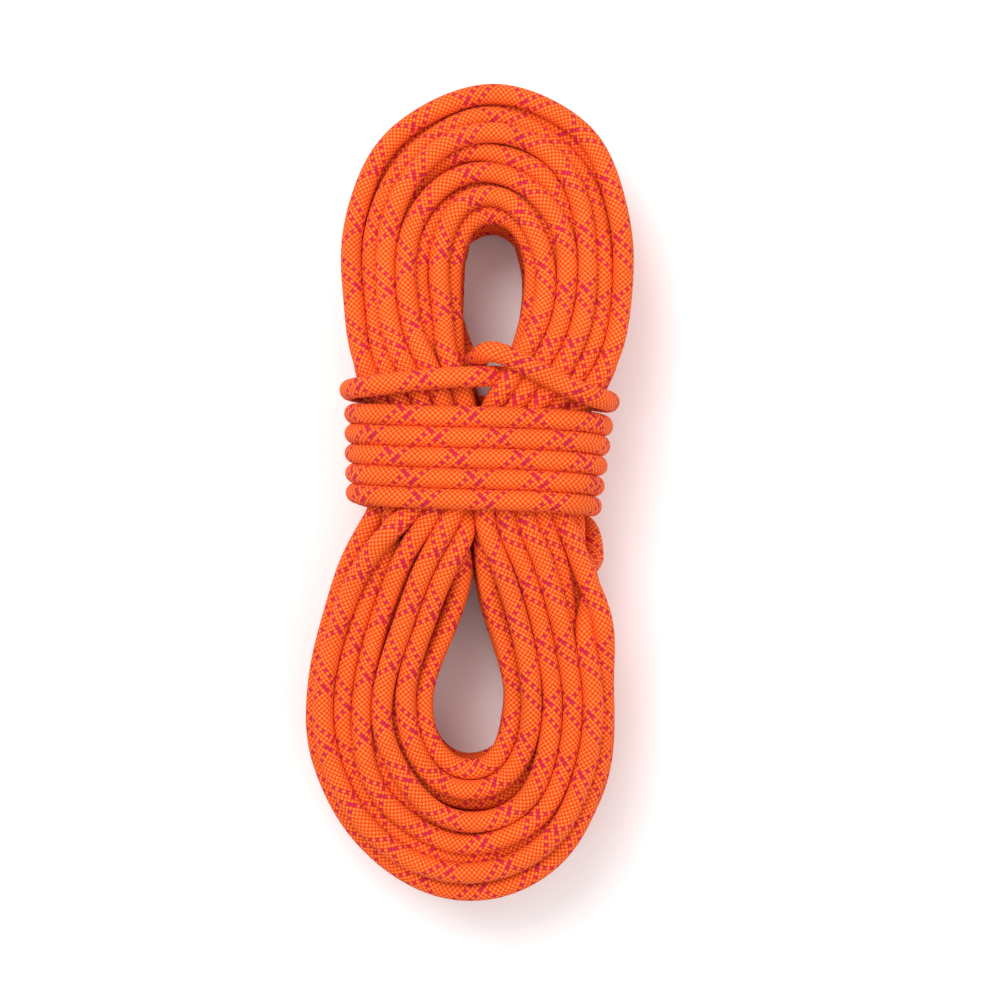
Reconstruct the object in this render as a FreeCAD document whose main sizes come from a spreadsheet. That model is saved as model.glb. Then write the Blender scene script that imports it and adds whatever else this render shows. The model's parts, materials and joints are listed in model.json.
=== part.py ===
import FreeCAD, Part
import math
import os

# Dynamic climbing rope, coiled to a two-eyed hank, wrapped round its waist and locked with a hitch.
# Frame: the hank lies on the floor, +Y towards the hitched end, +X across it, +Z up.
# The origin is on the floor, in the middle of the hank's box. Units are millimetres.

doc = FreeCAD.newDocument("climbing_rope")
V = FreeCAD.Vector

SIZES = [
    ("rope_diameter", 9.8),
    ("sheath_thickness", 1.15),
    ("core_strand_diameter", 1.62),
    ("inner_strand_ring", 1.0),
    ("outer_strand_ring", 2.66),
    ("tape_ring", 3.53),
    ("clearance", 0.3),
    ("loop_height", 66.0),
    ("loop_edge_radius", 17.0),
    ("eye_edge_radius", 9.0),
    ("fold_radius", 15.7),
    ("waist_width", 104.0),
    ("waist_height", 71.0),
    ("waist_corner_radius", 24.0),
    ("waist_middle_across", 3.2),
    ("waist_middle_along", 15.7),
    ("waist_length", 80.0),
    ("waist_end_slope", 13.0),
    ("waist_past_wraps", 6.0),
    ("wrap_count", 5.0),
    ("wrap_tilt", -2.9),
    ("wrap_valley_depth", 2.6),
    ("tail_lift", 5.6),
    ("sleeve_length", 34.0),
    ("sleeve_wall", 0.4),
    ("label_length", 18.0),
    ("label_thickness", 0.14),
    ("tape_width", 2.4),
    ("tape_thickness", 0.12),
    ("tip_length", 3.2),
    ("tip_edge_radius", 1.6),
]

sheet = doc.addObject("Spreadsheet::Sheet", "Sizes")
for row, (alias, value) in enumerate(SIZES, start=1):
    sheet.set("A%d" % row, alias)
    sheet.set("B%d" % row, str(value))
    sheet.setAlias("B%d" % row, alias)
doc.recompute()


def size(alias):
    return float(sheet.get(alias))


rope_radius = size("rope_diameter") / 2
waist_bottom = size("rope_diameter") + size("clearance")
waist_top = waist_bottom + size("waist_height")
waist_left = size("waist_middle_across") - size("waist_width") / 2
waist_right = size("waist_middle_across") + size("waist_width") / 2

# Where the rope's middle line runs when it lies against the waist.
lay_gap = rope_radius + size("clearance")
over = waist_top + lay_gap
under = waist_bottom - lay_gap
left_of = waist_left - lay_gap
right_of = waist_right + lay_gap
tail_level = size("tail_lift")

# Outer outline of each loop, hand-chosen corners that the arcs round off.
upper_outline = [
    V(-51, 42), V(-57, 62), V(-60, 112), V(-59, 146), V(-41, 183), V(11, 201),
    V(60, 183), V(77, 146), V(78, 106), V(72, 64), V(58, 40),
]
lower_outline = [
    V(56, -8), V(62, -46), V(70, -82), V(72, -126), V(61, -172), V(28, -196.5), V(-31, -197),
    V(-65, -167), V(-79, -121), V(-75, -80), V(-64, -44), V(-50, -8),
]
upper_eye = [
    V(3, 46), V(-5, 80), V(-5, 108), V(11, 127), V(29, 108), V(25, 80), V(14, 46),
]
lower_eye = [
    V(-2, -38), V(-18, -94), V(-16, -117), V(0, -130), V(14, -117), V(17, -94), V(4, -38),
]

# Middle line of the hitch: under the waist from the last wrap, up the left side and over the left
# leg, down between the legs, under the right leg, up its right side and back over itself.
hitch_route = [
    V(38, 44, under), V(-4, 46, under), V(left_of, 49, under), V(left_of, 49.5, over),
    V(16, 54, over), V(17, 55, under), V(right_of, 45.5, under), V(right_of, 44.5, over),
    V(6, 68, over + 3), V(-3, 63, 50), V(-4, 68, 36),
]
corner = size("waist_corner_radius") + lay_gap
fold = size("fold_radius")
hitch_bends = [0, corner, corner, corner, fold, fold, corner, corner, fold, corner, 0]
# The end that comes out of the hitch, tucked under the left leg of the upper loop.
finishing_route = [
    V(-4, 68, 36), V(-9, 90, tail_level), V(-21, 118, tail_level), V(-24, 168, tail_level),
]
# The end that the coiling began with, tucked under the right leg of the lower loop.
starting_route = [
    V(34, -32, tail_level), V(37, -64, tail_level), V(33, -98, tail_level), V(36, -152, tail_level),
]


def rounded_path(points, closed=False, bends=None, name=None):
    """Straight runs joined by tangent arcs, as large as the runs or the listed bends allow."""
    count = len(points)
    corners = []
    for index in range(count):
        if not closed and index in (0, count - 1):
            corners.append((points[index], points[index], None))
            continue
        before, here, after = points[index - 1], points[index], points[(index + 1) % count]
        run_in, run_out = here - before, after - here
        half_turn = run_in.getAngle(run_out) / 2
        reach = 0.45 * min(run_in.Length, run_out.Length)
        if bends:
            reach = min(reach, bends[index] * math.tan(half_turn))
        radius = reach / math.tan(half_turn)
        if name:
            print("%s: bend %d has radius %.1f" % (name, index, radius))
        run_in.normalize()
        run_out.normalize()
        inward = (run_out - run_in).normalize()
        middle = here + inward * (radius / math.cos(half_turn) - radius)
        corners.append((here - run_in * reach, here + run_out * reach, middle))
    curves = []
    for index, (first, last, middle) in enumerate(corners):
        if middle is not None:
            curves.append(Part.Arc(first, middle, last))
        if closed or index + 1 < count:
            curves.append(Part.LineSegment(last, corners[(index + 1) % count][0]))
    return curves


def wire_of(curves):
    return Part.Wire([curve.toShape() for curve in curves])


def add_sketch(body, name, role, curves):
    plane = next(item for item in body.Origin.OriginFeatures if item.Role == role)
    sketch = body.newObject("Sketcher::SketchObject", name)
    sketch.AttachmentSupport = (plane, [""])
    sketch.MapMode = "FlatFace"
    for curve in curves:
        if isinstance(curve, Part.Arc):
            edge = curve.toShape()
            middle = edge.valueAt((edge.FirstParameter + edge.LastParameter) / 2)
            curve = Part.ArcOfCircle(curve.StartPoint, middle, curve.EndPoint)
        sketch.addGeometry(curve, False)
    doc.recompute()
    return sketch


def new_body(label):
    body = doc.addObject("PartDesign::Body", label + "_body")
    body.Label = label
    return body


def add_pad(body, sketch, length_expression):
    feature = body.newObject("PartDesign::Pad", body.Label + "_pad")
    feature.Profile = sketch
    feature.setExpression("Length", length_expression)
    doc.recompute()
    return feature


def add_rim_fillet(body, base, curves, name, radius_expression):
    """Rounds a pad's edges that follow the given outline, at its bottom and at its top."""
    line = wire_of(curves)
    edge_names = []
    for number, edge in enumerate(base.Shape.Edges, start=1):
        middle = edge.valueAt((edge.FirstParameter + edge.LastParameter) / 2)
        below = Part.Vertex(middle.x, middle.y, 0)
        is_level = edge.BoundBox.ZLength < 0.01
        if is_level and line.distToShape(below)[0] < 0.01:
            edge_names.append("Edge%d" % number)
    feature = body.newObject("PartDesign::Fillet", name)
    feature.Base = (base, edge_names)
    feature.setExpression("Radius", radius_expression)
    doc.recompute()
    return feature


def make_loop(label, outline, eye):
    """One loop of the hank: a pad with its eye, rounded along both rims."""
    body = new_body(label)
    side = rounded_path(outline)
    hole = rounded_path(eye, closed=True)
    end = Part.LineSegment(outline[-1], outline[0])
    sketch = add_sketch(body, label + "_outline", "XY_Plane", side + [end] + hole)
    solid = add_pad(body, sketch, "Sizes.loop_height")
    solid = add_rim_fillet(body, solid, side, label + "_side_rim", "Sizes.loop_edge_radius")
    add_rim_fillet(body, solid, hole, label + "_eye_rim", "Sizes.eye_edge_radius")
    return body


def waist_corners(gap):
    """Corners of the pinched waist's section, widened by a gap."""
    return [
        V(waist_left - gap, waist_bottom - gap), V(waist_right + gap, waist_bottom - gap),
        V(waist_right + gap, waist_top + gap), V(waist_left - gap, waist_top + gap),
    ]


def make_waist():
    """The pinched middle of the hank, rounded as the wraps squeeze it."""
    body = new_body("waist")
    bends = [size("waist_corner_radius")] * 4
    outline = rounded_path(waist_corners(0), True, bends)
    sketch = add_sketch(body, "waist_section", "XZ_Plane", outline)
    solid = add_pad(body, sketch, "Sizes.waist_length")
    solid.Midplane = True
    doc.recompute()
    ends = []
    for number, face in enumerate(solid.Shape.Faces, start=1):
        if abs(face.normalAt(0, 0).y) > 0.99:
            ends.append("Face%d" % number)
    slope = body.newObject("PartDesign::Chamfer", "waist_ends")
    slope.Base = (solid, ends)
    slope.setExpression("Size", "Sizes.waist_end_slope")
    body.setExpression("Placement.Base.y", "Sizes.waist_middle_along + Sizes.waist_past_wraps")
    doc.recompute()
    return body


def make_wraps():
    """The coil of wraps: one closed ring whose outside shows a rib for each wrap."""
    body = new_body("waist_wraps")
    gap = size("clearance")
    bends = [size("waist_corner_radius") + gap] * 4
    spine = add_sketch(body, "wraps_path", "XZ_Plane", rounded_path(waist_corners(gap), True, bends))
    diameter = size("rope_diameter")
    count = int(size("wrap_count"))
    inner = waist_top + gap
    outer = inner + diameter
    valley = outer - size("wrap_valley_depth")
    first = -count * diameter / 2
    curves = [
        Part.LineSegment(V(first, valley), V(first, inner)),
        Part.LineSegment(V(first, inner), V(-first, inner)),
        Part.LineSegment(V(-first, inner), V(-first, valley)),
    ]
    for number in range(count):
        near = first + number * diameter
        far = near + diameter
        curves.append(Part.Arc(V(near, valley), V((near + far) / 2, outer), V(far, valley)))
    ring = body.newObject("PartDesign::AdditivePipe", "wraps_ring")
    ring.Profile = add_sketch(body, "wraps_section", "YZ_Plane", curves)
    ring.Spine = spine
    tilt = FreeCAD.Rotation(V(0, 0, 1), size("wrap_tilt"))
    body.Placement = FreeCAD.Placement(V(0, size("waist_middle_along"), 0), tilt)
    doc.recompute()
    return body


def add_shape(label, shape):
    part = doc.addObject("Part::Feature", label + "_shape")
    part.Label = label
    part.Shape = shape
    part.Placement = FreeCAD.Placement()
    return part


def sweep(route, make_section):
    """Sweeps a section along a rounded route; place() puts its points square to the route's start."""
    path = wire_of(route)
    first = path.Edges[0]
    start = first.valueAt(first.FirstParameter)
    along = first.tangentAt(first.FirstParameter)
    turn = FreeCAD.Rotation(V(0, 0, 1), along)

    def place(across, up):
        return start + turn.multVec(V(across, up, 0))

    return path.makePipeShell([make_section(place, along)], True, False)


def round_bar(route, radius, across=0, up=0):
    def circle(place, along):
        return Part.Wire(Part.makeCircle(radius, place(across, up), along))

    return sweep(route, circle)


def make_core(route):
    """Three strands with nine round them, side by side along the rope."""
    strand = size("core_strand_diameter")
    strands = []
    for count, ring in ((3, size("inner_strand_ring")), (9, size("outer_strand_ring"))):
        for number in range(count):
            angle = 2 * math.pi * number / count
            strands.append(round_bar(route, strand / 2, ring * math.cos(angle), ring * math.sin(angle)))
    return Part.makeCompound(strands)


def make_tape(route):
    """The thin marker tape that lies along the core, just inside the sheath."""
    inner = size("tape_ring")
    outer = inner + size("tape_thickness")
    half_angle = size("tape_width") / inner / 2

    def band(place, along):
        def point(radius, angle):
            return place(radius * math.cos(angle), radius * math.sin(angle))

        corners = [point(radius, side * half_angle) for radius in (inner, outer) for side in (-1, 1)]
        return wire_of([
            Part.Arc(corners[0], point(inner, 0), corners[1]),
            Part.LineSegment(corners[1], corners[3]),
            Part.Arc(corners[3], point(outer, 0), corners[2]),
            Part.LineSegment(corners[2], corners[0]),
        ])

    return sweep(route, band)


def add_cylinder(name, radius_expression, length_expression, start_expression):
    cylinder = doc.addObject("Part::Cylinder", name)
    cylinder.setExpression("Radius", radius_expression)
    cylinder.setExpression("Height", length_expression)
    cylinder.setExpression("Placement.Base.z", start_expression)
    return cylinder


def add_cut(label, outer, inner, placement):
    cut = doc.addObject("Part::Cut", label + "_cut")
    cut.Label = label
    cut.Base = outer
    cut.Tool = inner
    cut.Placement = placement
    doc.recompute()
    return cut


def make_end_fittings(name, route):
    """Fused tip, blank label and clear shrink sleeve, square to the rope's last run."""
    end = route[-1].EndPoint
    along = (end - route[-1].StartPoint).normalize()
    placement = FreeCAD.Placement(end, FreeCAD.Rotation(V(0, 0, 1), along))
    rope = "Sizes.rope_diameter / 2"
    over_label = rope + " + Sizes.label_thickness"
    sleeve_start = "-Sizes.sleeve_length"
    label_start = "-(Sizes.sleeve_length + Sizes.label_length) / 2"

    label_outer = add_cylinder(name + "_label_outer", over_label, "Sizes.label_length", label_start)
    label_inner = add_cylinder(name + "_label_inner", rope, "Sizes.label_length", label_start)
    label = add_cut(name + "_label", label_outer, label_inner, placement)

    outer = over_label + " + Sizes.sleeve_wall"
    sleeve_outer = add_cylinder(name + "_sleeve_outer", outer, "Sizes.sleeve_length", sleeve_start)
    bore = add_cylinder(name + "_sleeve_bore", rope, "Sizes.sleeve_length", sleeve_start)
    recess = add_cylinder(name + "_label_recess", over_label, "Sizes.label_length", label_start)
    hollow = doc.addObject("Part::Fuse", name + "_sleeve_hollow")
    hollow.Base = bore
    hollow.Tool = recess
    sleeve = add_cut(name + "_shrink_sleeve", sleeve_outer, hollow, placement)

    tip_blank = add_cylinder(name + "_tip_blank", rope, "Sizes.tip_length", "0 mm")
    doc.recompute()
    tip = doc.addObject("Part::Fillet", name + "_tip_rounded")
    tip.Label = name + "_fused_tip"
    tip.Base = tip_blank
    far_edges = []
    for number, edge in enumerate(tip_blank.Shape.Edges, start=1):
        if edge.BoundBox.ZMin > size("tip_length") / 2:
            far_edges.append((number, size("tip_edge_radius"), size("tip_edge_radius")))
    tip.Edges = far_edges
    tip.Placement = placement
    doc.recompute()
    return [tip, sleeve, label]


def make_rope_end(name, route):
    """One end of the rope, opened into the pieces that it is made of."""
    bore = round_bar(route, rope_radius - size("sheath_thickness"))
    sheath = round_bar(route, rope_radius).cut(bore)
    pieces = [
        add_shape(name + "_sheath", sheath),
        add_shape(name + "_core_strands", make_core(route)),
        add_shape(name + "_marker_tape", make_tape(route)),
    ]
    return pieces + make_end_fittings(name, route)


hitch = rounded_path(hitch_route, bends=hitch_bends, name="hitch")
finishing = rounded_path(finishing_route, name="finishing end")
starting = rounded_path(starting_route, name="starting end")

upper_loop = make_loop("upper_loop", upper_outline, upper_eye)
lower_loop = make_loop("lower_loop", lower_outline, lower_eye)
waist = make_waist()
turns = doc.addObject("Part::MultiFuse", "turns_outer_shape")
turns.Shapes = [upper_loop, lower_loop, waist]

# The turns are pressed aside wherever the hitch and the two ends lie against them.
room = rope_radius + size("clearance")
end_room = room + size("sleeve_wall") + size("label_thickness")
pressed = [round_bar(hitch, room), round_bar(finishing, end_room), round_bar(starting, end_room)]
hollows = add_shape("room_for_the_rope", Part.makeCompound(pressed))
hank_turns = doc.addObject("Part::Cut", "turns_with_room")
hank_turns.Label = "hank_turns"
hank_turns.Base = turns
hank_turns.Tool = hollows
doc.recompute()

locking_hitch = add_shape("locking_hitch", round_bar(hitch, rope_radius))
parts = [hank_turns, make_wraps(), locking_hitch]
parts += make_rope_end("finishing_end", finishing)
parts += make_rope_end("starting_end", starting)

swept_length = wire_of(hitch).Length
swept_volume = math.pi * rope_radius ** 2 * swept_length
print("hitch: volume over section times length %.4f" % (locking_hitch.Shape.Volume / swept_volume))

for item in doc.Objects:
    if "Invalid" in item.State or "Error" in item.State:
        raise RuntimeError("%s did not recompute" % item.Label)

os.makedirs("parts", exist_ok=True)
for part in parts:
    shape = part.Shape
    if shape.isNull() or not shape.isValid():
        raise RuntimeError("%s has no valid shape" % part.Label)
    shape.exportStep("parts/%s.step" % part.Label)
    print("%s: %d solids, %.0f mm3" % (part.Label, len(shape.Solids), shape.Volume))
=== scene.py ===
import bpy
import json
import math
import time
import numpy as np
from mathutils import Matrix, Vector
from mathutils.kdtree import KDTree

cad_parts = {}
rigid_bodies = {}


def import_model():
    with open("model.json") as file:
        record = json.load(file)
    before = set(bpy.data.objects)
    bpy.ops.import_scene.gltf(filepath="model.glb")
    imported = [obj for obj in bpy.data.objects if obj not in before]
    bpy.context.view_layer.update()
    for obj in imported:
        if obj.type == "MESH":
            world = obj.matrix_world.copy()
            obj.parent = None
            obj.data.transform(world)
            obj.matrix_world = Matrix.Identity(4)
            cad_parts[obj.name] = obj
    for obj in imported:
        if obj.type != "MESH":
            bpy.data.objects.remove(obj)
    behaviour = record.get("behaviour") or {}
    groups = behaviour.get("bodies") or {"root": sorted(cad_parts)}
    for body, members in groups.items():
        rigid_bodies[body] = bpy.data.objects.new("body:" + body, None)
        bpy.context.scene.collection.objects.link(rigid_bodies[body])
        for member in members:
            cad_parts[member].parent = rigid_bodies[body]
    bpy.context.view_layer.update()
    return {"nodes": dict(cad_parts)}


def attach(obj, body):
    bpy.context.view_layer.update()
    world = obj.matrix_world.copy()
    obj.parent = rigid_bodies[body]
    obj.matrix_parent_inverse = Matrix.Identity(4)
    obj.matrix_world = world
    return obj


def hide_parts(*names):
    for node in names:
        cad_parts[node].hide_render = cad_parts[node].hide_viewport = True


# A dynamic climbing rope, coiled to a two-eyed hank. Lengths are metres, the hank's sections and
# routes are written in millimetres and scaled by mm.
for leftover in list(bpy.data.objects):  # a new file's own cube, lamp and camera
    bpy.data.objects.remove(leftover)
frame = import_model()
mm = 0.001
startedAt = time.time()

rope = {
    "radius": 4.9 * mm, "turns": 36, "pointGap": 6.0 * mm, "sides": 20,
    "turnsEachPiece": 4, "meetAt": 0.5, "turnSteps": 3, "hitchSteps": 8, "endSteps": 12,
}
rope["diameter"] = 2 * rope["radius"]

# Sections across the bundle, in the order that the rope runs: up the right leg, round the upper
# loop, down the left leg and round the lower loop. Each has the middle line of its innermost and
# outermost turn, and the height of its lowest and highest layer.
sections = np.array([
    (8.0, -6, 49.5, -6, 15, 75), (10.5, 36, 53.5, 35, 15, 75), (21, 55, 62, 55, 13, 74),
    (30, 84, 71, 86, 5.5, 64), (31.5, 110, 71.5, 128, 4.9, 60), (24, 127, 55, 171, 4.9, 56),
    (11.5, 132, 11.5, 191, 4.9, 54), (-1, 128, -35, 170, 4.9, 56), (-7.5, 112, -54.5, 128, 4.9, 60),
    (-8, 84, -54, 86, 5.5, 63), (-3, 55, -49.5, 56, 13, 73), (0.5, 36, -45, 37, 15, 75),
    (-1.8, -6, -43.5, -6, 15, 75), (0, -24, -53, -25, 12, 73), (-7, -54, -63, -53, 7, 68),
    (-20.5, -88, -72, -90, 4.9, 62), (-21, -111, -70.5, -127, 4.9, 59),
    (-12, -127, -48, -168, 4.9, 55), (1, -132, -4, -191, 4.9, 53), (13, -127, 45, -173, 4.9, 55),
    (21, -109, 63.5, -132, 4.9, 59), (20, -86, 65, -86, 4.9, 62), (9, -52, 61, -50, 7, 68),
    (6, -24, 54, -25, 12, 73),
]) * mm

# Layers of the bundle from the floor up, and how many turns lie side by side in each.
layerCounts = [4, 4, 4, 4, 4, 4, 4, 5, 4]

wraps = {
    "count": 5, "middleX": 3.1 * mm, "middleZ": 45.7 * mm, "halfHeight": 40.6 * mm,
    "middleXFirst": 1.6 * mm, "middleXLast": 4.6 * mm,
    "halfWidthFirst": 55.9 * mm, "halfWidthLast": 59.8 * mm, "squareness": 3.0,
    "leftFirst": 0.4 * mm, "leftLast": 38.0 * mm, "rightFirst": -6.6 * mm, "rightLast": 31.8 * mm,
    "pointsEach": 28, "startAngle": 0.15 * math.pi,
    "tunnelFrom": -9 * mm, "tunnelTo": 41 * mm, "tunnelEase": 1.5 * mm,
}

# The plain CAD tubes' routes, with some points added or moved.
hitchRoute = [
    (52, 37, 12), (38, 40, 5), (-4, 45, 4.9), (-40, 48, 6), (-56, 49, 24), (-58, 49, 62),
    (-45, 49.5, 83), (-14, 53, 86.5), (4, 53.5, 86.5), (15, 54.5, 77), (17, 55, 50), (18, 54.5, 18),
    (32, 51, 5), (52, 47, 8), (66, 44, 26), (68, 43, 62), (57, 44.5, 83), (37, 53, 88),
    (19, 63, 91), (8, 66, 87), (3, 60.5, 70), (0, 63, 48),
]
finishingRoute = [
    (0, 63, 48), (-5, 74, 24), (-9, 90, 5.6), (-21, 118, 5.6), (-22.2, 138, 5.6), (-24, 168, 5.6),
]
startingRoute = [
    (36, -152, 5.6), (34.2, -120, 5.6), (33, -98, 5.6), (37, -64, 5.6), (34, -32, 5.6),
]


def lanes():
    # Place of each turn across the bundle, layer by layer, to and fro as the rope was laid.
    places = []
    widest = max(layerCounts)
    for layer, count in enumerate(layerCounts):
        height = layer / (len(layerCounts) - 1)
        across = [(index + 0.5 * (widest - count)) / (widest - 1) for index in range(count)]
        if layer % 2:
            across.reverse()
        places += [(value, height) for value in across]
    return np.array(places)


def aroundLoop(values, place):
    # Smooth closed curve through the sections' values, read at a fractional section number.
    count = len(values)
    base = np.floor(place).astype(int)
    part = (place - base)[:, None]
    before, here, after, next2 = (values[(base + step) % count] for step in (-1, 0, 1, 2))
    return 0.5 * (
        2 * here + (after - before) * part
        + (2 * before - 5 * here + 4 * after - next2) * part ** 2
        + (3 * here - before - 3 * after + next2) * part ** 3
    )


def evenly(points, gap):
    # The same line with its points an equal step apart.
    steps = np.linalg.norm(np.diff(points[:, :3], axis=0), axis=1)
    along = np.concatenate([[0], np.cumsum(steps)])
    count = max(2, int(round(along[-1] / gap)) + 1)
    wanted = np.linspace(0, along[-1], count)
    return np.stack([np.interp(wanted, along, points[:, axis]) for axis in range(points.shape[1])], 1)


laying = {
    "samples": 30, "laneChange": (11.0, 12.0), "seed": 7, "waves": (1, 1, 2, 3), "quarterWave": 1,
    "swayAcross": 0.05, "swayUp": 0.035, "crown": 0.10,
}


def layTurns():
    # First guess at the turns: each follows its own lane and moves to the next under the wraps.
    places = lanes()
    sectionCount = len(sections)
    samples = laying["samples"]
    shiftStart, shiftEnd = laying["laneChange"]
    place = np.arange(rope["turns"] * sectionCount * samples + 1) / samples
    turn = np.minimum(place // sectionCount, rope["turns"] - 1).astype(int)
    within = place - turn * sectionCount
    shift = np.clip((within - shiftStart) / (shiftEnd - shiftStart), 0, 1)
    shift = shift * shift * (3 - 2 * shift)
    lane = places[turn] * (1 - shift)[:, None] + places[turn + 1] * shift[:, None]
    random = np.random.default_rng(laying["seed"])
    waves = random.uniform(-1, 1, (rope["turns"] + 1, len(laying["waves"]), 2))
    angle = 2 * math.pi * within / sectionCount
    sway = np.zeros_like(lane)
    for number, factor in enumerate(laying["waves"]):
        phase = math.pi / 2 if number == laying["quarterWave"] else 0
        sway += waves[turn, number] * np.sin(factor * angle + phase)[:, None]
    lane = lane + sway * np.array([laying["swayAcross"], laying["swayUp"]])
    section = aroundLoop(sections, place)
    side = section[:, 0:2] + (section[:, 2:4] - section[:, 0:2]) * lane[:, :1]
    height = section[:, 4] + (section[:, 5] - section[:, 4]) * lane[:, 1]
    crown = 1 - laying["crown"] * np.abs(2 * lane[:, 1] - 1) ** 3
    middle = (section[:, 0:2] + section[:, 2:4]) / 2
    side = middle + (side - middle) * crown[:, None]
    return evenly(np.column_stack([side, height, place]), rope["pointGap"])


def layWraps():
    # The wraps round the waist, from the one nearest the lower loop to the one by the hitch.
    count = wraps["count"]
    angle = np.linspace(wraps["startAngle"], 2 * math.pi * count, count * wraps["pointsEach"])
    turned = angle / (2 * math.pi)
    whole = np.floor(turned)
    part = turned - whole
    # Each wrap goes down the right side, under, up the left side and over the top.
    left = wraps["leftFirst"] + (wraps["leftLast"] - wraps["leftFirst"]) * whole / (count - 1)
    right = wraps["rightFirst"] + (wraps["rightLast"] - wraps["rightFirst"]) * whole / (count - 1)
    rightBefore = right - (wraps["rightLast"] - wraps["rightFirst"]) / (count - 1)
    under = rightBefore + (left - rightBefore) * part * 2
    over = left + (right - left) * (part - 0.5) * 2
    y = np.where(part < 0.5, under, over)
    grow = turned / count
    halfWidth = wraps["halfWidthFirst"] + (wraps["halfWidthLast"] - wraps["halfWidthFirst"]) * grow
    cosine, sine = np.cos(angle), np.sin(angle)
    power = 2 / wraps["squareness"]
    middleX = wraps["middleXFirst"] + (wraps["middleXLast"] - wraps["middleXFirst"]) * grow
    x = middleX + halfWidth * np.sign(cosine) * np.abs(cosine) ** power
    z = wraps["middleZ"] - wraps["halfHeight"] * np.sign(sine) * np.abs(sine) ** power
    return evenly(np.column_stack([x, y, z]), rope["pointGap"])


# The line that a stretch's own smooth spline draws.
def drawLine(name, points, resolution):
    curve = bpy.data.curves.new(name, "CURVE")
    curve.dimensions = "3D"
    curve.resolution_u = resolution
    spline = curve.splines.new("NURBS")
    spline.points.add(len(points) - 1)
    for point, spot in zip(spline.points, points):
        point.co = (*spot, 1)
    spline.order_u = 3
    spline.use_endpoint_u = True
    holder = bpy.data.objects.new(name, curve)
    bpy.context.collection.objects.link(holder)
    bpy.context.view_layer.update()
    drawn = bpy.data.meshes.new_from_object(holder)
    spots = np.array([vertex.co[:] for vertex in drawn.vertices])
    bpy.data.objects.remove(holder)
    bpy.data.meshes.remove(drawn)
    bpy.data.curves.remove(curve)
    keep = np.concatenate([[True], np.linalg.norm(np.diff(spots, axis=0), axis=1) > 1e-7])
    return spots[keep]


settling = {
    "steps": 420, "pairsEvery": 20, "reach": 1.3, "neighbours": 4, "contactLength": 0.6,
    "push": 0.5, "share": 0.7, "stretch": 0.25, "shortest": 0.5, "longest": 1.2, "stiffness": 0.07,
    "holdFirst": 0.02, "holdLast": 0.006, "holdUntil": 0.6, "edge": 0.4,
}


def nearPairs(points, reach):
    # Points closer than reach that are not neighbours along the rope. Each pair is listed both ways.
    tree = KDTree(len(points))
    for index, point in enumerate(points):
        tree.insert(point, index)
    tree.balance()
    first, second = [], []
    for index, point in enumerate(points):
        for _, other, _ in tree.find_range(point, reach):
            if abs(other - index) > settling["neighbours"]:
                first.append(index)
                second.append(other)
    return np.array(first), np.array(second)


def spread(indices, amounts, count):
    return np.stack([np.bincount(indices, amounts[:, axis], count) for axis in range(3)], 1)


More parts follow.
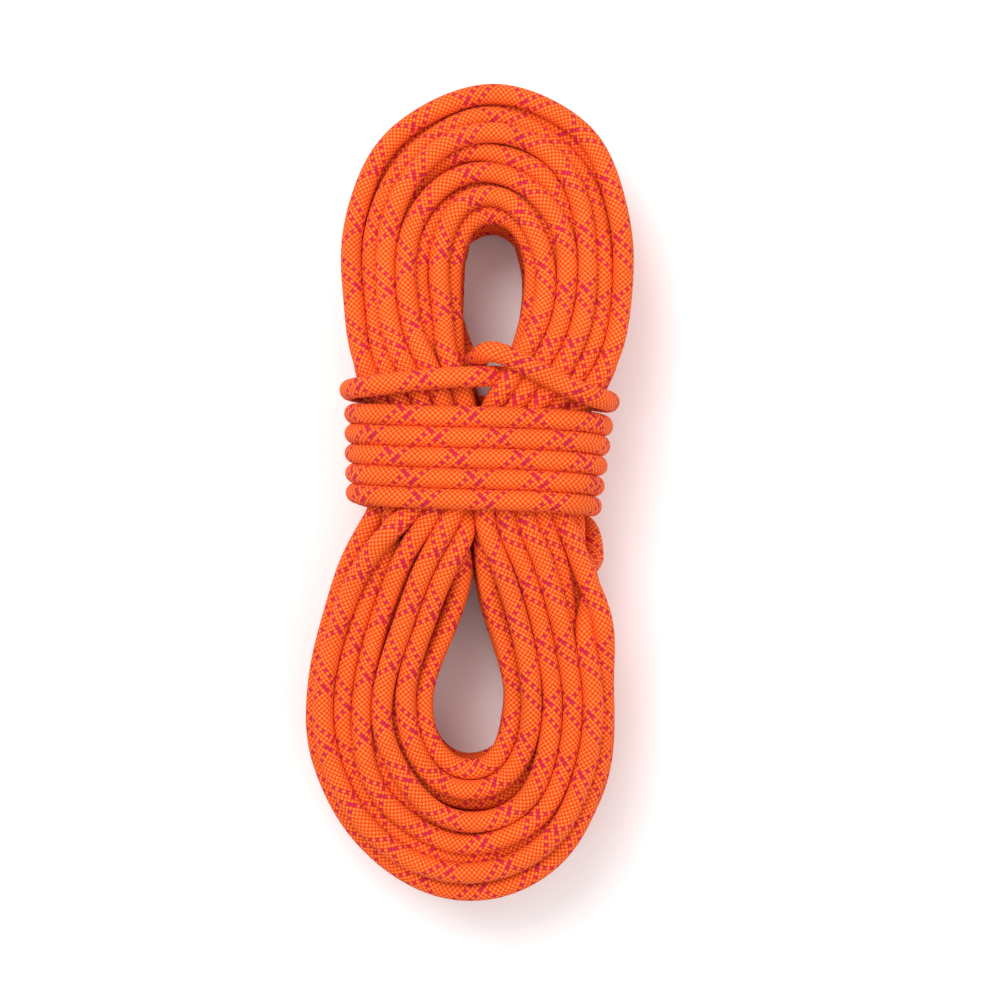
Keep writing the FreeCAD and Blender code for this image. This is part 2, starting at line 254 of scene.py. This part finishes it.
def settle(points, place, held):
    # Pushes strands apart until they lie on each other. In six places, five of them at the rope's
    # two ends, strands still pass through each other.
    count = len(points)
    diameter = rope["diameter"]
    wanted = points.copy()
    rest = np.linalg.norm(np.diff(points, axis=0), axis=1)
    section = aroundLoop(sections, place)
    inner, outer = section[:, 0:2], section[:, 2:4]
    width = np.linalg.norm(outer - inner, axis=1)
    outward = (outer - inner) / width[:, None]
    lowest = np.full(count, rope["radius"])
    free = ~held
    mobility = free.astype(float)[:, None]
    rest = np.clip(rest, settling["shortest"] * rope["pointGap"], settling["longest"] * rope["pointGap"])
    steps = settling["steps"]
    for step in range(steps):
        if step % settling["pairsEvery"] == 0:
            first, second = nearPairs(points, diameter * settling["reach"])
        tangent = np.gradient(points, axis=0)
        tangent /= np.linalg.norm(tangent, axis=1)[:, None] + 1e-9
        # Contact, square to the rope that is touched.
        offset = points[first] - points[second]
        along = (offset * tangent[second]).sum(1)
        across = offset - along[:, None] * tangent[second]
        distance = np.linalg.norm(across, axis=1) + 1e-9
        touching = (distance < diameter) & (np.abs(along) < settling["contactLength"] * rope["pointGap"])
        push = across[touching] * ((diameter - distance[touching]) / distance[touching])[:, None]
        change = spread(first[touching], push, count) - spread(second[touching], push, count)
        touches = np.bincount(first[touching], minlength=count)
        touches = touches + np.bincount(second[touching], minlength=count)
        gentle = settling["push"] / np.maximum(touches, 1) ** settling["share"]
        points = points + mobility * change * gentle[:, None]
        # Length and stiffness.
        chord = np.diff(points, axis=0)
        length = np.linalg.norm(chord, axis=1) + 1e-9
        pull = chord * (settling["stretch"] * (length - rest) / length)[:, None]
        points[:-1] += mobility[:-1] * pull
        points[1:] -= mobility[1:] * pull
        bend = points[:-4] - 4 * points[1:-3] + 6 * points[2:-2] - 4 * points[3:-1] + points[4:]
        points[2:-2] -= mobility[2:-2] * bend * settling["stiffness"]
        # The places that the hank was laid in.
        hold = settling["holdFirst"] if step < steps * settling["holdUntil"] else settling["holdLast"]
        points += mobility * (wanted - points) * hold
        reachOut = ((points[:, 0:2] - inner) * outward).sum(1)
        over = np.clip(reachOut - width, 0, None) - np.clip(-reachOut, 0, None)
        points[:, 0:2] -= mobility[:, :1] * outward * (settling["edge"] * over)[:, None]
        # The tunnel through the wraps, and the floor.
        slope = (wraps["leftFirst"] - wraps["rightFirst"]) / (2 * wraps["halfWidthFirst"])
        level = points[:, 1] + (points[:, 0] - wraps["middleX"]) * slope
        inside = (level > wraps["tunnelFrom"]) & (level < wraps["tunnelTo"]) & free
        halfTunnel = wraps["halfWidthFirst"] + wraps["tunnelEase"] - diameter
        x = (points[inside, 0] - wraps["middleX"]) / halfTunnel
        z = (points[inside, 2] - wraps["middleZ"]) / (wraps["halfHeight"] - diameter)
        power = wraps["squareness"]
        size = (np.abs(x) ** power + np.abs(z) ** power) ** (1 / power)
        shrink = 1 / np.maximum(size, 1)
        points[inside, 0] = wraps["middleX"] + (points[inside, 0] - wraps["middleX"]) * shrink
        points[inside, 2] = wraps["middleZ"] + (points[inside, 2] - wraps["middleZ"]) * shrink
        points[:, 2] = np.where(free, np.maximum(points[:, 2], lowest), points[:, 2])
    worst = (diameter - distance[touching]) / mm
    print("before the last step: %d touching pairs, overlap %.2f mm at 95%%, %.2f mm at most"
          % (touching.sum() // 2, np.percentile(worst, 95), worst.max()))
    return points


starting = evenly(drawLine("route", np.array(startingRoute) * mm, rope["endSteps"]), rope["pointGap"])
turns = layTurns()
wrapLine = layWraps()
hitch = evenly(drawLine("route", np.array(hitchRoute) * mm, rope["endSteps"]), rope["pointGap"])
finishing = evenly(drawLine("route", np.array(finishingRoute) * mm, rope["endSteps"]), rope["pointGap"])
finishing = finishing[1:]
print("turns, wraps and hitch laid after %.1f s" % (time.time() - startedAt))

# The last turn leaves the bundle here and bends down into the first wrap.
cut = {"start": 4, "end": 15, "lead": 70 * mm, "leadSteps": 40, "heldLead": 5, "freeStart": 2}
lastTurn = turns[-cut["end"], :3]
turnPull = turns[-cut["end"], :3] - turns[-cut["end"] - 1, :3]
wrapPull = wrapLine[1] - wrapLine[0]
turnPull *= cut["lead"] / np.linalg.norm(turnPull)
wrapPull *= cut["lead"] / np.linalg.norm(wrapPull)
share = np.linspace(0, 1, cut["leadSteps"])[:, None]
bridge = (
    lastTurn * (2 * share ** 3 - 3 * share ** 2 + 1) + turnPull * (share ** 3 - 2 * share ** 2 + share)
    + wrapLine[0] * (3 * share ** 2 - 2 * share ** 3) + wrapPull * (share ** 3 - share ** 2)
)
bridge = evenly(bridge, rope["pointGap"])[:-1]
bridgePlace = np.linspace(turns[-cut["end"], 3], turns[-1, 3], len(bridge))
laid = turns[cut["start"]:-cut["end"]]
freeFrom = len(starting) - cut["freeStart"]
turnsFrom = len(starting)
wrapsFrom = turnsFrom + len(laid) + len(bridge)
hitchFrom = wrapsFrom + len(wrapLine)
finishingFrom = hitchFrom + len(hitch)
line = np.concatenate([starting, laid[:, :3], bridge, wrapLine, hitch, finishing])
place = np.zeros(len(line))
place[turnsFrom:wrapsFrom] = np.concatenate([laid[:, 3], bridgePlace])
held = np.ones(len(line), bool)
held[freeFrom:wrapsFrom - cut["heldLead"]] = False
line = settle(line, place, held)
print("turns settled after %.1f s" % (time.time() - startedAt))


# Two directions square to the line at each of its points, carried along without any twist.
def crossDirections(spots, normal):
    tangent = np.gradient(spots, axis=0)
    tangent /= np.linalg.norm(tangent, axis=1)[:, None]
    normals = np.zeros_like(spots)
    for index in range(len(spots)):
        normal = normal - tangent[index] * (normal @ tangent[index])
        normal = normal / np.linalg.norm(normal)
        normals[index] = normal
    return normals, np.cross(tangent, normals)


# Closed outlines drawn along a line. The UV holds metres along the rope and the turn round it.
# A circle's faces come out pointing inwards, and a tube's two ends are open.
def sweep(name, spots, outlines, normal, startLength):
    normals, sideways = crossDirections(spots, normal)
    steps = np.linalg.norm(np.diff(spots, axis=0), axis=1)
    along = startLength + np.concatenate([[0], np.cumsum(steps)])
    count = len(spots)
    vertices, faces, corners = [], [], []
    offset = 0
    for outline in outlines:
        sides = len(outline)
        ring = normals[:, None] * outline[None, :, :1] + sideways[:, None] * outline[None, :, 1:]
        vertices.append((spots[:, None] + ring).reshape(-1, 3))
        first = offset + np.arange(count - 1)[:, None] * sides
        column = np.arange(sides)[None, :]
        after = (column + 1) % sides
        quads = [first + sides + column, first + sides + after, first + after, first + column]
        faces.append(np.stack(quads, -1).reshape(-1, 4))
        shape = (count - 1, sides)
        u = np.broadcast_to(along[:-1, None], shape)
        uNext = np.broadcast_to(along[1:, None], shape)
        v = np.broadcast_to(column / sides, shape)
        vNext = v + 1 / sides
        uv = [(uNext, v), (uNext, vNext), (u, vNext), (u, v)]
        corners.append(np.stack([np.stack(pair, -1) for pair in uv], 2).reshape(-1))
        offset += count * sides
    mesh = bpy.data.meshes.new(name)
    mesh.from_pydata(np.concatenate(vertices).tolist(), [], np.concatenate(faces).tolist())
    layer = mesh.uv_layers.new(name="rope")
    layer.data.foreach_set("uv", np.concatenate(corners).astype(np.float32))
    mesh.shade_smooth()
    piece = bpy.data.objects.new(name, mesh)
    bpy.context.collection.objects.link(piece)
    return piece, normals[-1], along[-1]


def circle(radius, sides, across=0.0, up=0.0):
    angle = np.arange(sides) / sides * 2 * math.pi
    return np.stack([across + radius * np.cos(angle), up + radius * np.sin(angle)], 1)


class Nodes:
    # Short way to add shader nodes and join them.

    def __init__(self, tree):
        self.tree = tree

    def add(self, kind, **settings):
        node = self.tree.nodes.new(kind)
        for name, value in settings.items():
            setattr(node, name, value)
        return node

    def math(self, operation, first, second=None, third=None):
        node = self.add("ShaderNodeMath", operation=operation)
        for socket, value in zip(node.inputs, (first, second, third)):
            if value is None:
                continue
            if isinstance(value, (int, float)):
                socket.default_value = value
            else:
                self.tree.links.new(value, socket)
        return node.outputs[0]

    def mix(self, factor, first, second):
        node = self.add("ShaderNodeMix", data_type="RGBA")
        for socket, value in ((node.inputs[0], factor), (node.inputs[6], first), (node.inputs[7], second)):
            if isinstance(value, (int, float, tuple)):
                socket.default_value = value
            else:
                self.tree.links.new(value, socket)
        return node.outputs[2]


# Cloudy tone and fine fuzz, shared by all the rope's materials.
def makeGrain():
    group = bpy.data.node_groups.new("grain", "ShaderNodeTree")
    group.interface.new_socket("Cloud Scale", in_out="INPUT", socket_type="NodeSocketFloat")
    group.interface.new_socket("Fuzz Scale", in_out="INPUT", socket_type="NodeSocketFloat")
    group.interface.new_socket("Cloud", in_out="OUTPUT", socket_type="NodeSocketFloat")
    group.interface.new_socket("Fuzz", in_out="OUTPUT", socket_type="NodeSocketFloat")
    nodes = Nodes(group)
    inward = nodes.add("NodeGroupInput")
    outward = nodes.add("NodeGroupOutput")
    place = nodes.add("ShaderNodeTexCoord")
    for index, detail in enumerate((5, 3)):
        noise = nodes.add("ShaderNodeTexNoise")
        noise.inputs["Detail"].default_value = detail
        group.links.new(place.outputs["Object"], noise.inputs["Vector"])
        group.links.new(inward.outputs[index], noise.inputs["Scale"])
        group.links.new(noise.outputs[0], outward.inputs[index])
    return group


def addGrain(nodes, group, cloudScale, fuzzScale):
    grain = nodes.add("ShaderNodeGroup", node_tree=group)
    grain.inputs["Cloud Scale"].default_value = cloudScale
    grain.inputs["Fuzz Scale"].default_value = fuzzScale
    return grain.outputs["Cloud"], grain.outputs["Fuzz"]


# Braided sheath: doubled yarns, one over one, with crimson tracers both ways. It has a painted highlight
# along each pick and painted shade in the gaps between the yarns.
def makeBraid(group):
    weave = {"carriers": 12, "repeat": 2.45 * mm, "tracers": (0, 3), "crossTracer": 5}
    # The two light colours are painted highlights on the yarns and on the tracers' plies; the dark gap
    # colour is painted shade between the yarns.
    look = {
        "yarn": (0.86, 0.068, 0.002, 1), "highlightColour": (1.0, 0.36, 0.10, 1),
        "gap": (0.45, 0.012, 0.001, 1), "tracer": (0.44, 0.003, 0.022, 1),
        "tracerHighlightColour": (0.80, 0.045, 0.13, 1), "bumpHeight": 0.4 * mm, "bumpStrength": 0.9,
        "cloudScale": 60, "fuzzScale": 2600, "highlightThinness": 9.0, "sheen": 0.08,
        "sheenTint": (1, 0.25, 0.08, 1), "sheenRoughness": 0.5, "specular": 0.12,
        "crownHeight": 0.5, "yarnHeight": 0.4, "plyHeight": 0.12, "fuzzHeight": 0.12,
        "fuzzHighlight": (1.3, 0.25), "highlightWidth": 0.8, "plyHighlightSharpness": 3.0, "gapShadeDepth": 2.2,
        "gapShadeStrength": 0.9, "cloudTone": (0.35, 0.83), "fuzzRoughness": (0.25, 0.6),
    }
    material = bpy.data.materials.new("braided_sheath")
    material.use_nodes = True
    tree = material.node_tree
    nodes = Nodes(tree)
    shader = tree.nodes["Principled BSDF"]
    uv = nodes.add("ShaderNodeUVMap", uv_map="rope")
    split = nodes.add("ShaderNodeSeparateXYZ")
    tree.links.new(uv.outputs[0], split.inputs[0])
    along = nodes.math("DIVIDE", split.outputs[0], weave["repeat"])
    around = nodes.math("MULTIPLY", split.outputs[1], float(weave["carriers"]))
    right = nodes.math("ADD", around, along)
    left = nodes.math("SUBTRACT", around, along)
    rightYarn = nodes.math("FLOOR", right)
    leftYarn = nodes.math("FLOOR", left)
    rightAcross = nodes.math("FRACT", right)
    leftAcross = nodes.math("FRACT", left)
    both = nodes.math("ADD", rightYarn, leftYarn)
    onTop = nodes.math("GREATER_THAN", nodes.math("FLOORED_MODULO", both, 2.0), 0.5)

    def pick(whenOn, whenOff):
        difference = nodes.math("SUBTRACT", whenOn, whenOff)
        return nodes.math("MULTIPLY_ADD", difference, onTop, whenOff)

    def dome(value):
        centred = nodes.math("MULTIPLY_ADD", value, 2.0, -1.0)
        return nodes.math("SUBTRACT", 1.0, nodes.math("MULTIPLY", centred, centred))

    def tracerAt(value, index):
        remainder = nodes.math("FLOORED_MODULO", value, float(weave["carriers"]))
        return nodes.math("COMPARE", remainder, float(index), 0.5)

    lengthwise = pick(leftAcross, rightAcross)
    crown = dome(lengthwise)
    yarn = dome(pick(rightAcross, leftAcross))
    ply = dome(nodes.math("FRACT", nodes.math("MULTIPLY", lengthwise, 2.0)))
    yarnHeight = nodes.math("MULTIPLY", yarn, look["yarnHeight"])
    height = nodes.math("MULTIPLY_ADD", crown, look["crownHeight"], yarnHeight)
    height = nodes.math("MULTIPLY_ADD", ply, look["plyHeight"], height)
    pair = nodes.math("ADD", *(tracerAt(rightYarn, index) for index in weave["tracers"]))
    tracer = pick(pair, tracerAt(leftYarn, weave["crossTracer"]))
    cloud, fuzz = addGrain(nodes, group, look["cloudScale"], look["fuzzScale"])
    # Painted highlight: a short light streak along the middle of each orange pick, broken up by fuzz.
    highlightFuzz = nodes.math("MULTIPLY_ADD", fuzz, *look["fuzzHighlight"])
    thin = nodes.math("POWER", crown, look["highlightThinness"])
    highlight = nodes.math("MULTIPLY", thin, nodes.math("POWER", yarn, look["highlightWidth"]))
    highlight = nodes.math("MULTIPLY", highlight, highlightFuzz)
    # Painted highlight on each of the two plies of a tracer pick.
    plyHighlight = nodes.math("MULTIPLY", nodes.math("POWER", ply, look["plyHighlightSharpness"]), yarn)
    orange = nodes.mix(highlight, look["yarn"], look["highlightColour"])
    crimson = nodes.mix(nodes.math("MULTIPLY", plyHighlight, highlightFuzz), look["tracer"], look["tracerHighlightColour"])
    colour = nodes.mix(tracer, orange, crimson)
    # Painted shade: the colour darkens towards the dark gap colour where the weave lies low between the
    # yarns.
    gapShade = nodes.math("SUBTRACT", 1.0, nodes.math("MULTIPLY", height, look["gapShadeDepth"]))
    gapShade = nodes.math("MULTIPLY", nodes.math("MAXIMUM", gapShade, 0.0), look["gapShadeStrength"])
    colour = nodes.mix(gapShade, colour, look["gap"])
    tone = nodes.add("ShaderNodeHueSaturation")
    tree.links.new(colour, tone.inputs["Color"])
    tree.links.new(nodes.math("MULTIPLY_ADD", cloud, *look["cloudTone"]), tone.inputs["Value"])
    tree.links.new(tone.outputs[0], shader.inputs["Base Color"])
    bump = nodes.add("ShaderNodeBump")
    bump.inputs["Strength"].default_value = look["bumpStrength"]
    bump.inputs["Distance"].default_value = look["bumpHeight"]
    tree.links.new(nodes.math("MULTIPLY_ADD", fuzz, look["fuzzHeight"], height), bump.inputs["Height"])
    tree.links.new(bump.outputs[0], shader.inputs["Normal"])
    roughness = nodes.math("MULTIPLY_ADD", fuzz, *look["fuzzRoughness"])
    tree.links.new(roughness, shader.inputs["Roughness"])
    shader.inputs["Sheen Weight"].default_value = look["sheen"]
    shader.inputs["Sheen Roughness"].default_value = look["sheenRoughness"]
    shader.inputs["Sheen Tint"].default_value = look["sheenTint"]
    shader.inputs["Specular IOR Level"].default_value = look["specular"]
    return material


plain = {"fuzzTimes": 8, "darker": 0.72, "fuzzRoughness": 0.2, "bumpHeight": 0.2 * mm}


# A moulded, melted, spun or printed surface with its own grain and small colour changes.
def makePlain(group, name, look):
    material = bpy.data.materials.new(name)
    material.use_nodes = True
    tree = material.node_tree
    nodes = Nodes(tree)
    shader = tree.nodes["Principled BSDF"]
    cloud, fuzz = addGrain(nodes, group, look["scale"], look["scale"] * plain["fuzzTimes"])
    colour = look["colour"]
    darker = tuple(channel * plain["darker"] for channel in colour[:3]) + (1,)
    tree.links.new(nodes.mix(cloud, darker, colour), shader.inputs["Base Color"])
    roughness = nodes.math("MULTIPLY_ADD", fuzz, plain["fuzzRoughness"], look["roughness"])
    tree.links.new(roughness, shader.inputs["Roughness"])
    bump = nodes.add("ShaderNodeBump")
    bump.inputs["Strength"].default_value = look["bump"]
    bump.inputs["Distance"].default_value = plain["bumpHeight"]
    tree.links.new(cloud, bump.inputs["Height"])
    tree.links.new(bump.outputs[0], shader.inputs["Normal"])
    shader.inputs["Transmission Weight"].default_value = look.get("clearness", 0.0)
    return material


looks = {
    "core_yarn": {"colour": (0.86, 0.85, 0.80, 1), "roughness": 0.7, "scale": 400, "bump": 0.6},
    "marker_tape": {"colour": (0.72, 0.70, 0.62, 1), "roughness": 0.4, "scale": 200, "bump": 0.1},
    "fused_polyamide": {"colour": (0.30, 0.02, 0.004, 1), "roughness": 0.2, "scale": 500, "bump": 0.6},
    "clear_sleeve": {
        "colour": (0.95, 0.94, 0.92, 1), "roughness": 0.1, "scale": 150, "bump": 0.15, "clearness": 0.9,
    },
    "label_film": {"colour": (0.85, 0.85, 0.82, 1), "roughness": 0.3, "scale": 300, "bump": 0.1},
}
grainGroup = makeGrain()
finishes = {name: makePlain(grainGroup, name, look) for name, look in looks.items()}
finishes["braided_sheath"] = makeBraid(grainGroup)
print("%d materials made after %.1f s" % (len(finishes), time.time() - startedAt))


# Rides the piece on the hank, gives it its finish and hides the CAD parts that it stands in for.
def finishPiece(piece, slot, replaced):
    piece.data.materials.append(finishes[slot])
    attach(piece, "root")
    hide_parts(*replaced)


# One stretch of sheathed rope. It carries the braid on from the stretch before it.
def addStretch(name, spots, replaced, braidState):
    outline = [circle(rope["radius"], rope["sides"])]
    tube, normal, length = sweep(name, spots, outline, braidState["normal"], braidState["length"])
    braidState["total"] += length - braidState["length"]
    finishPiece(tube, "braided_sheath", replaced)
    braidState["normal"], braidState["length"] = normal, length


core = {
    "strandRadius": 0.81 * mm, "strandSides": 10, "rings": ((3, 1.0 * mm), (9, 2.66 * mm)),
    "tapeRing": 3.53 * mm, "tapeThickness": 0.12 * mm, "tapeWidth": 2.4 * mm, "tapeSteps": 6,
}


# The strands inside one end of the rope, and the thin tape that lies along them.
def addCore(end, spots):
    outlines = []
    for count, ring in core["rings"]:
        for number in range(count):
            angle = number / count * 2 * math.pi
            outlines.append(circle(core["strandRadius"], core["strandSides"],
                                   ring * math.cos(angle), ring * math.sin(angle)))
    upward = np.array([0.0, 0.0, 1.0])
    strands = sweep(end + "_core", spots, outlines, upward, 0.0)[0]
    finishPiece(strands, "core_yarn", [end + "_core_strands"])
    halfAngle = core["tapeWidth"] / core["tapeRing"] / 2
    angles = np.linspace(-halfAngle, halfAngle, core["tapeSteps"])
    inner = core["tapeRing"] * np.stack([np.cos(angles), np.sin(angles)], 1)
    outer = inner[::-1] * (1 + core["tapeThickness"] / core["tapeRing"])
    tape = sweep(end + "_tape", spots, [np.concatenate([outer, inner])], upward, 0.0)[0]
    finishPiece(tape, "marker_tape", [end + "_marker_tape"])
    return strands, tape


def endFittings(end):
    fittings = {"fused_tip": "fused_polyamide", "shrink_sleeve": "clear_sleeve", "label": "label_film"}
    pieces = []
    for part, slot in fittings.items():
        node = frame["nodes"]["%s_%s" % (end, part)]
        node.data.materials.clear()
        node.data.materials.append(finishes[slot])
        pieces.append(node)
    return pieces


# Turns meet half way between the first two sections, on the right leg and inside the wraps.
breaks = [turnsFrom]
for number in range(rope["turnsEachPiece"], rope["turns"], rope["turnsEachPiece"]):
    later = np.nonzero(place[turnsFrom:wrapsFrom] >= number * len(sections) + rope["meetAt"])[0]
    breaks.append(turnsFrom + int(later[0]))
breaks.append(wrapsFrom)

braidState = {"normal": np.array([0.0, 0.0, 1.0]), "length": 0.0, "total": 0.0}
startPoints = np.concatenate([np.array(startingRoute) * mm, line[turnsFrom:turnsFrom + 1]])
startSpots = drawLine("starting_end", startPoints, rope["endSteps"])
startPieces = list(addCore("starting_end", startSpots)) + endFittings("starting_end")
addStretch("starting_end_braid", startSpots, ["starting_end_sheath"], braidState)
for number, (begin, end) in enumerate(zip(breaks[:-1], breaks[1:]), start=1):
    name = "turns_%d" % number
    addStretch(name, drawLine(name, line[begin:end + 1], rope["turnSteps"]), ["hank_turns"], braidState)
wrapSpots = drawLine("wraps", line[wrapsFrom:hitchFrom + 1], rope["turnSteps"])
addStretch("wraps", wrapSpots, ["waist_wraps"], braidState)
hitchPoints = np.concatenate([line[hitchFrom:hitchFrom + 1], np.array(hitchRoute)[1:] * mm])
addStretch("hitch", drawLine("hitch", hitchPoints, rope["hitchSteps"]), ["locking_hitch"], braidState)
finishSpots = drawLine("finishing_end", np.array(finishingRoute) * mm, rope["endSteps"])
finishPieces = list(addCore("finishing_end", finishSpots)) + endFittings("finishing_end")
addStretch("finishing_end_braid", finishSpots, ["finishing_end_sheath"], braidState)
print("rope of %.2f m after %.1f s" % (braidState["total"], time.time() - startedAt))


stage = {
    "floorSize": 8, "floorColour": (0.97, 0.97, 0.97, 1), "floorRoughness": 0.9, "sky": 0.5,
    "lights": (
        ("key", (-0.5, 0.7, 1.3), 0.9, 16), ("fill", (0.9, -0.4, 1.1), 1.2, 6),
        ("overhead", (0.0, 0.0, 1.9), 1.6, 9),
    ),
    "camera": (14.8 * mm, -3.4 * mm, 1.1), "lens": 79, "clip": 0.01,
}


def addFloor():
    bpy.ops.mesh.primitive_plane_add(size=stage["floorSize"])
    floor = bpy.context.object
    floor.name = "floor"
    material = bpy.data.materials.new("pale_floor")
    material.use_nodes = True
    shader = material.node_tree.nodes["Principled BSDF"]
    shader.inputs["Base Color"].default_value = stage["floorColour"]
    shader.inputs["Roughness"].default_value = stage["floorRoughness"]
    floor.data.materials.append(material)


def addLight(name, position, size, power):
    data = bpy.data.lights.new(name, "AREA")
    data.size = size
    data.energy = power
    light = bpy.data.objects.new(name, data)
    light.location = position
    light.rotation_euler = (-Vector(position)).to_track_quat("-Z", "Y").to_euler()
    bpy.context.collection.objects.link(light)


def addSky():
    world = bpy.data.worlds.new("world")
    world.use_nodes = True
    world.node_tree.nodes["Background"].inputs["Color"].default_value = (1, 1, 1, 1)
    world.node_tree.nodes["Background"].inputs["Strength"].default_value = stage["sky"]
    bpy.context.scene.world = world


def addCamera():
    data = bpy.data.cameras.new("camera")
    data.lens = stage["lens"]
    data.clip_start = stage["clip"]
    camera = bpy.data.objects.new("camera", data)
    camera.location = stage["camera"]
    bpy.context.collection.objects.link(camera)
    bpy.context.scene.camera = camera


addFloor()
for name, position, size, power in stage["lights"]:
    addLight(name, position, size, power)
addSky()
addCamera()
bpy.context.scene.view_settings.view_transform = "Standard"  # keeps the orange as strong as it is
print("stage dressed after %.1f s" % (time.time() - startedAt))
